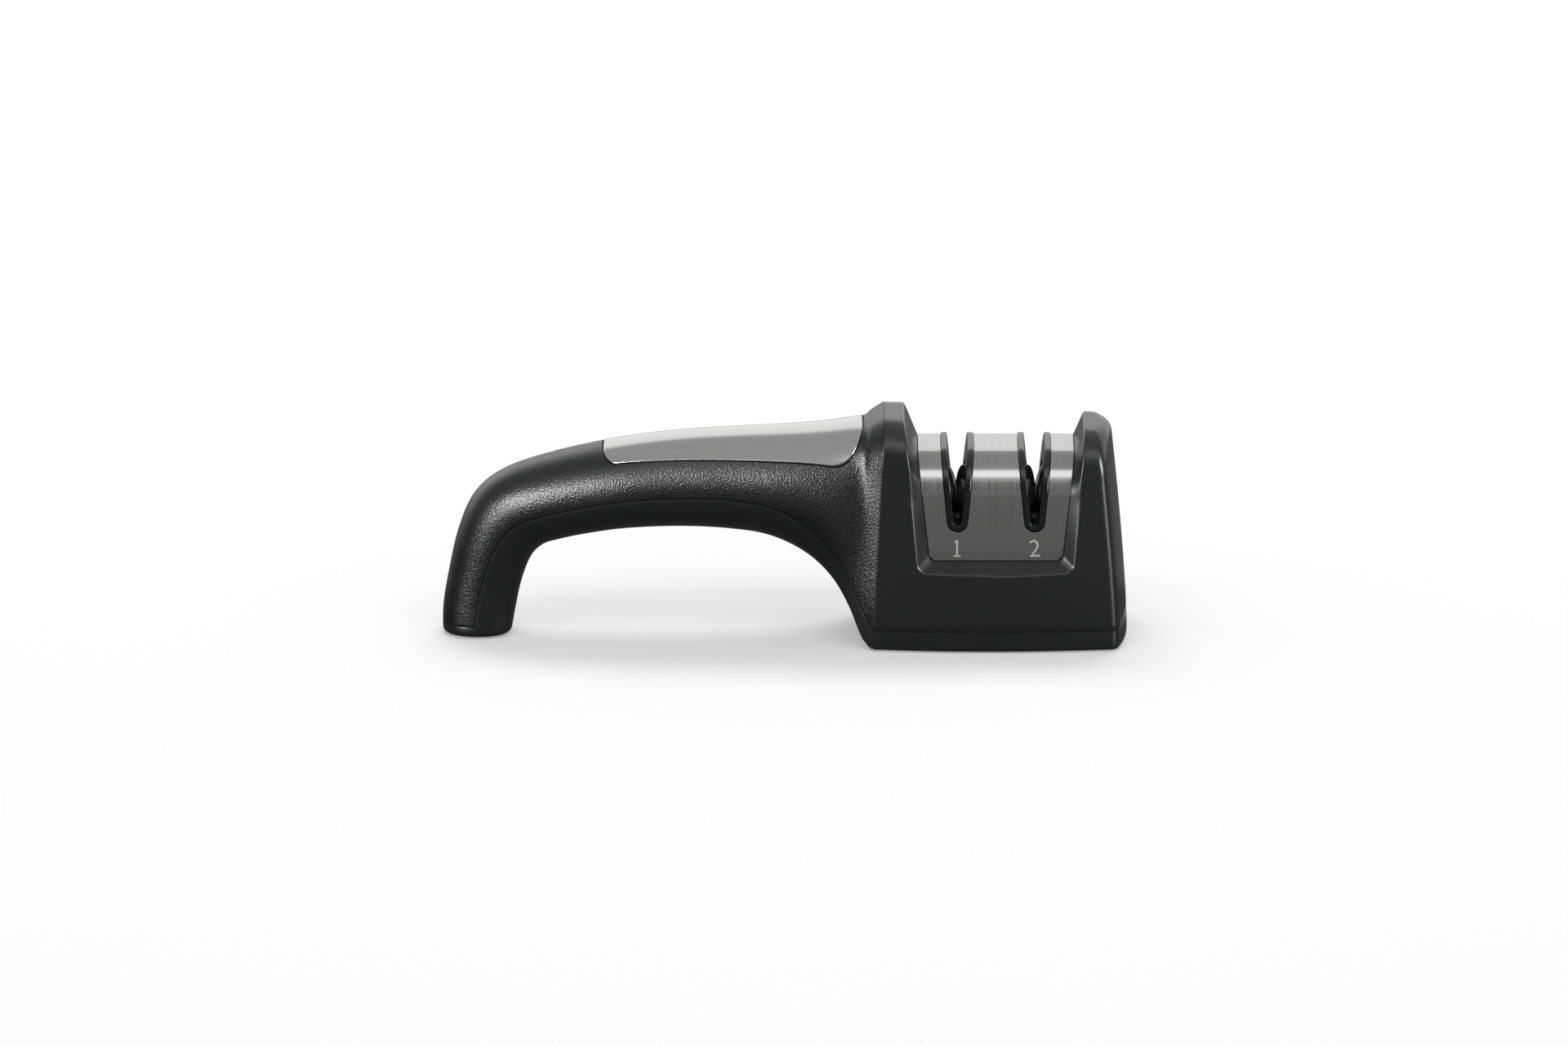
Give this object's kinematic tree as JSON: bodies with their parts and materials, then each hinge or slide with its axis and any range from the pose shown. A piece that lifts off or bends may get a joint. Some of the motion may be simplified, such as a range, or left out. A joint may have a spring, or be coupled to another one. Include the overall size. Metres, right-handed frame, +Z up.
{
  "type": "pull-through knife sharpener",
  "caption": "Hand-held pull-through knife sharpener with an arched grip, a steel inlay, and a head with slots between fins, each slot lined and holding a pair of tilted abrasive discs.",
  "frame": {"origin": "middle of the whole length and width, on the surface that the rubber mat and the rubber pad stand on", "axes": "+X from the grip's leg towards the head, +Z up, slots run along Y"},
  "size_m": [0.21, 0.0536, 0.07],
  "materials": {
    "grained_black": "fine leather grain on the grip, smooth satin on the head",
    "smooth_black": "smooth satin",
    "brushed_steel": "brushed, bright cut edges",
    "handle_steel": "fine brushed along the grip",
    "guide_black": "semi-gloss",
    "carrier_black": "moulded, matt",
    "coarse_abrasive": "diamond-coated steel, fine sparkling grain",
    "fine_abrasive": "fine abrasive coating",
    "hub_plastic": "moulded acetal",
    "plain_steel": "turned, zinc plated",
    "rubber": "matt"
  },
  "bodies": {
    "housing": {"upper_body": "grained_black", "lower_body": "smooth_black", "handle_plate": "handle_steel", "saddle_plate": "brushed_steel", "knife_guide_1": "guide_black", "knife_guide_2": "guide_black", "disc_carrier_1": "carrier_black", "disc_carrier_2": "carrier_black", "coarse_axle_left": "plain_steel", "coarse_axle_right": "plain_steel", "fine_axle_left": "plain_steel", "fine_axle_right": "plain_steel", "carrier_screws": "plain_steel", "base_screws": "plain_steel", "leg_screw": "plain_steel", "base_mat": "rubber", "leg_pad": "rubber"},
    "coarse_wheel_left": {"coarse_disc_left": "coarse_abrasive", "coarse_hub_left": "hub_plastic"},
    "coarse_wheel_right": {"coarse_disc_right": "coarse_abrasive", "coarse_hub_right": "hub_plastic"},
    "fine_wheel_left": {"fine_disc_left": "fine_abrasive", "fine_hub_left": "hub_plastic"},
    "fine_wheel_right": {"fine_disc_right": "fine_abrasive", "fine_hub_right": "hub_plastic"}
  },
  "joints": [
    {"name": "coarse_left_spin", "type": "hinge", "parent": "housing", "child": "coarse_wheel_left", "pos_m": [0.05127, 0, 0.0451], "axis": [-0.9602, -0.2609, -0.0993], "continuous": true},
    {"name": "coarse_right_spin", "type": "hinge", "parent": "housing", "child": "coarse_wheel_right", "pos_m": [0.05433, 0, 0.0451], "axis": [0.9602, 0.2609, -0.0993], "continuous": true},
    {"name": "fine_left_spin", "type": "hinge", "parent": "housing", "child": "fine_wheel_left", "pos_m": [0.07487, 0, 0.0451], "axis": [-0.9602, 0.2609, -0.0993], "continuous": true},
    {"name": "fine_right_spin", "type": "hinge", "parent": "housing", "child": "fine_wheel_right", "pos_m": [0.07793, 0, 0.0451], "axis": [0.9602, -0.2609, -0.0993], "continuous": true}
  ]
}
